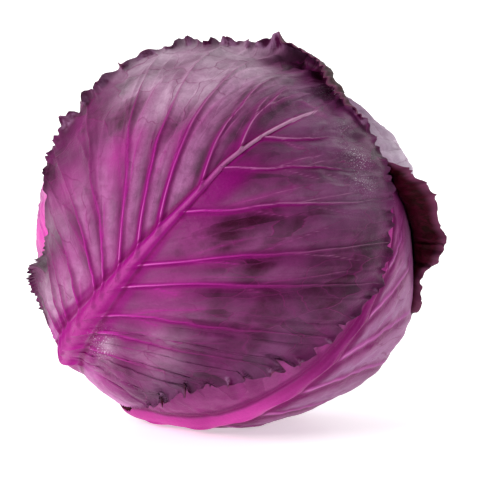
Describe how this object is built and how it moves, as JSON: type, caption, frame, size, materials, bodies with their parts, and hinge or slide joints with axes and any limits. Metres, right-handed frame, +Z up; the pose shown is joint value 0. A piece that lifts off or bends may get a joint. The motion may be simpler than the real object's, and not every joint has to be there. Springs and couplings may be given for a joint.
{
  "type": "red cabbage head",
  "caption": "Whole red cabbage head lying on its side, with its cut stalk and wrapper leaves that curl open at their frilled margins.",
  "frame": {"origin": "middle of the small flat spot that the cabbage lies on, straight under the middle of the head", "axes": "+Z up; the viewer of the picture looks along +Y, and the stem end points to -X, a little back and down"},
  "size_m": [0.1801, 0.1697, 0.1696],
  "materials": {
    "stalk": "moist cut stem, pale cream and pink",
    "inner_leaves": "waxy purple leaf",
    "leaf_left": "waxy leaf, magenta veins on purple",
    "leaf_right": "waxy leaf, magenta midrib and veins on lilac",
    "leaf_back": "waxy leaf, pale lilac bloom outside and dark maroon inside",
    "leaf_front": "waxy leaf, bright magenta midrib and veins on dark purple"
  },
  "bodies": {
    "root": {"stalk": "stalk", "head": "inner_leaves", "leaf_left": "leaf_left", "leaf_right": "leaf_right", "leaf_back": "leaf_back", "leaf_front": "leaf_front"}
  },
  "joints": []
}
